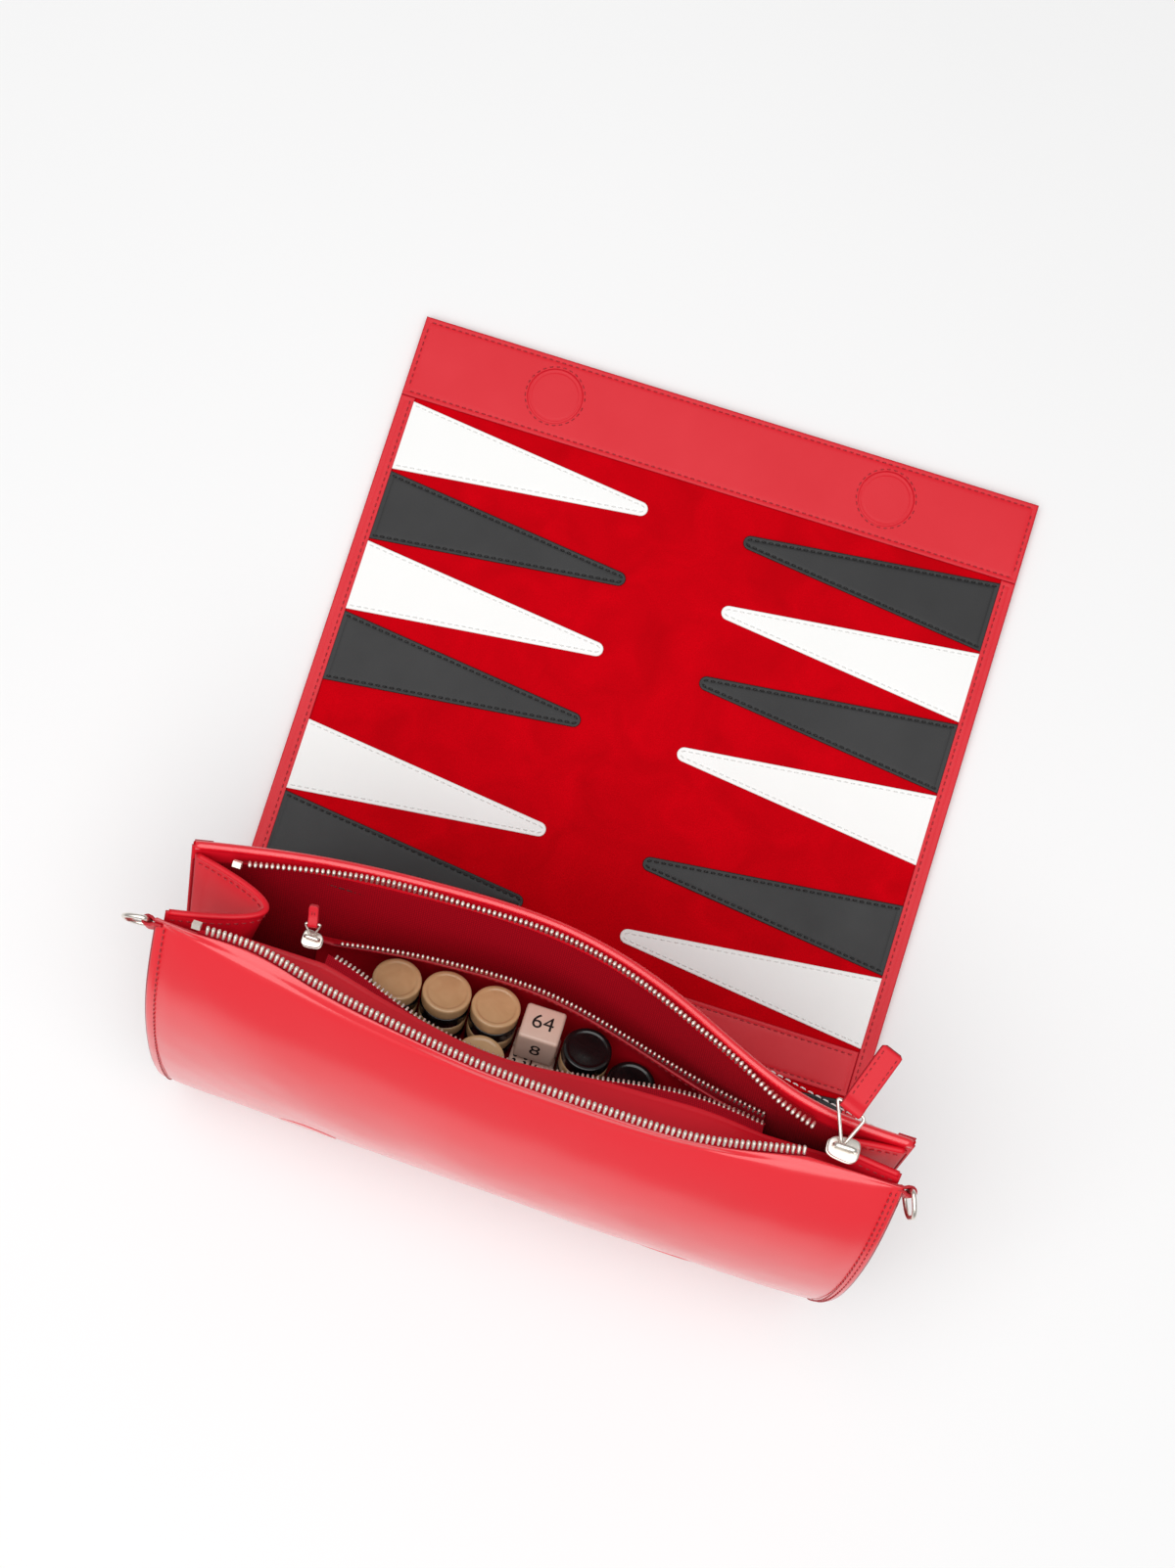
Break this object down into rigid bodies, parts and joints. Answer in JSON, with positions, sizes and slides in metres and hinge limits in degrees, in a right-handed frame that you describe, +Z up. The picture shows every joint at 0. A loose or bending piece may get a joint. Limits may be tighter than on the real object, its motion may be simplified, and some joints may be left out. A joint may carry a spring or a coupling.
{
  "type": "folding backgammon case",
  "caption": "Roll-up backgammon case: a leather board in three panels folding round a zipped pouch with an inner zip pocket of game pieces.",
  "frame": {"origin": "centre of the underside of the back panel, the face that lies on the table", "axes": "+X across the board, +Y towards the flap's free end, +Z up"},
  "size_m": [0.3205, 0.3727, 0.1532],
  "materials": {
    "red_leather": "smooth satin",
    "red_suede": "suede nap",
    "white_leather": "smooth",
    "charcoal_leather": "smooth",
    "board_stiffener": "grey board",
    "magnet": "plated",
    "foam": "thin padding",
    "red_lining": "fine twill",
    "red_tape": "woven tape",
    "silver_metal": "polished nickel",
    "cream_resin": "gloss",
    "black_resin": "gloss",
    "ivory_resin": "satin"
  },
  "bodies": {
    "flap": {"flap_dark_points": "charcoal_leather", "flap_edge_strips": "red_leather", "flap_end_band": "red_leather", "flap_light_points": "white_leather", "flap_magnets": "magnet", "flap_outer_leather": "red_leather", "flap_stiffener": "board_stiffener", "flap_suede": "red_suede"},
    "back": {"back_dark_points": "charcoal_leather", "back_edge_strips": "red_leather", "back_light_points": "white_leather", "back_outer_leather": "red_leather", "back_stiffener": "board_stiffener", "back_suede": "red_suede", "bottom_fold_leather": "red_leather", "bottom_fold_suede": "red_suede", "centre_bar": "red_leather", "top_fold_leather": "red_leather", "top_fold_suede": "red_suede"},
    "outer_slider": {"outer_slider": "silver_metal"},
    "outer_pull_link": {"outer_pull_link": "silver_metal"},
    "outer_pull_tab": {"outer_pull_tab": "red_leather"},
    "inner_slider": {"inner_slider": "silver_metal"},
    "inner_pull_ring": {"inner_pull_ring": "silver_metal"},
    "inner_pull_tab": {"inner_pull_tab": "red_leather"},
    "left_d_ring": {"left_d_ring": "silver_metal"},
    "right_d_ring": {"right_d_ring": "silver_metal"},
    "doubling_cube": {"doubling_cube": "ivory_resin"},
    "top_checker": {"top_light_checker": "cream_resin"},
    "pouch": {"dark_checkers": "black_resin", "dice": "ivory_resin", "front_facing": "red_leather", "inner_zip_front_tape": "red_tape", "inner_zip_front_teeth": "silver_metal", "inner_zip_rear_tape": "red_tape", "inner_zip_rear_teeth": "silver_metal", "left_gusset": "red_leather", "left_ring_loop": "red_leather", "light_checkers": "cream_resin", "outer_zip_front_tape": "red_tape", "outer_zip_front_teeth": "silver_metal", "outer_zip_rear_tape": "red_tape", "outer_zip_rear_teeth": "silver_metal", "outer_zip_top_stops": "silver_metal", "pocket_floor": "red_lining", "pocket_front_wall": "red_lining", "pocket_rear_wall": "red_leather", "pouch_dark_points": "charcoal_leather", "pouch_edge_strips": "red_leather", "pouch_front_leather": "red_leather", "pouch_front_lining": "red_lining", "pouch_front_magnets": "magnet", "pouch_front_padding": "foam", "pouch_light_points": "white_leather", "pouch_rear_leather": "red_leather", "pouch_rear_lining": "red_lining", "pouch_rear_suede": "red_suede", "right_gusset": "red_leather", "right_ring_loop": "red_leather"}
  },
  "joints": [
    {"name": "flap_fold", "type": "hinge", "parent": "back", "child": "flap", "pos_m": [0, 0.09, 0.0015], "axis": [1, 0, 0], "range_deg": [0, 108], "deforming": ["top_fold_leather", "top_fold_suede"]},
    {"name": "pouch_fold", "type": "hinge", "parent": "back", "child": "pouch", "pos_m": [0, -0.09, 0.0056], "axis": [1, 0, 0], "range_deg": [-25, 80], "deforming": ["bottom_fold_leather", "bottom_fold_suede"]},
    {"name": "outer_zip_slide", "type": "slide", "parent": "pouch", "child": "outer_slider", "axis": [-0.9981, 0.0612, 0], "range_m": [0, 0.192]},
    {"name": "outer_link_swing", "type": "hinge", "parent": "outer_slider", "child": "outer_pull_link", "pos_m": [0.1213, -0.0209, 0.14969], "axis": [1, 0, 0], "range_deg": [-8, 18]},
    {"name": "outer_tab_swing", "type": "hinge", "parent": "outer_pull_link", "child": "outer_pull_tab", "pos_m": [0.1204, -0.00604, 0.1515], "axis": [0.9383, -0.3458, 0], "range_deg": [0, 40]},
    {"name": "inner_zip_slide", "type": "slide", "parent": "pouch", "child": "inner_slider", "axis": [0.9991, -0.0426, 0], "range_m": [0, 0.152]},
    {"name": "inner_ring_swing", "type": "hinge", "parent": "inner_slider", "child": "inner_pull_ring", "pos_m": [-0.0925, -0.00829, 0.12536], "axis": [1, 0, 0], "range_deg": [-18, 8]},
    {"name": "inner_tab_swing", "type": "hinge", "parent": "inner_pull_ring", "child": "inner_pull_tab", "pos_m": [-0.09346, -0.00265, 0.12824], "axis": [0.9858, 0.168, 0], "range_deg": [0, 60]},
    {"name": "left_ring_swing", "type": "hinge", "parent": "pouch", "child": "left_d_ring", "pos_m": [-0.153, -0.0205, 0.1315], "axis": [0, 0.2, 0.9798], "range_deg": [-60, 60]},
    {"name": "right_ring_swing", "type": "hinge", "parent": "pouch", "child": "right_d_ring", "pos_m": [0.153, -0.0305, 0.1345], "axis": [0, 0.2, 0.9798], "range_deg": [-8, 100]},
    {"name": "cube_lift", "type": "slide", "parent": "pouch", "child": "doubling_cube", "axis": [0, 0.2, 0.9798], "range_m": [0, 0.07]},
    {"name": "checker_lift", "type": "slide", "parent": "pouch", "child": "top_checker", "axis": [0, 0, 1], "range_m": [0, 0.07]}
  ]
}
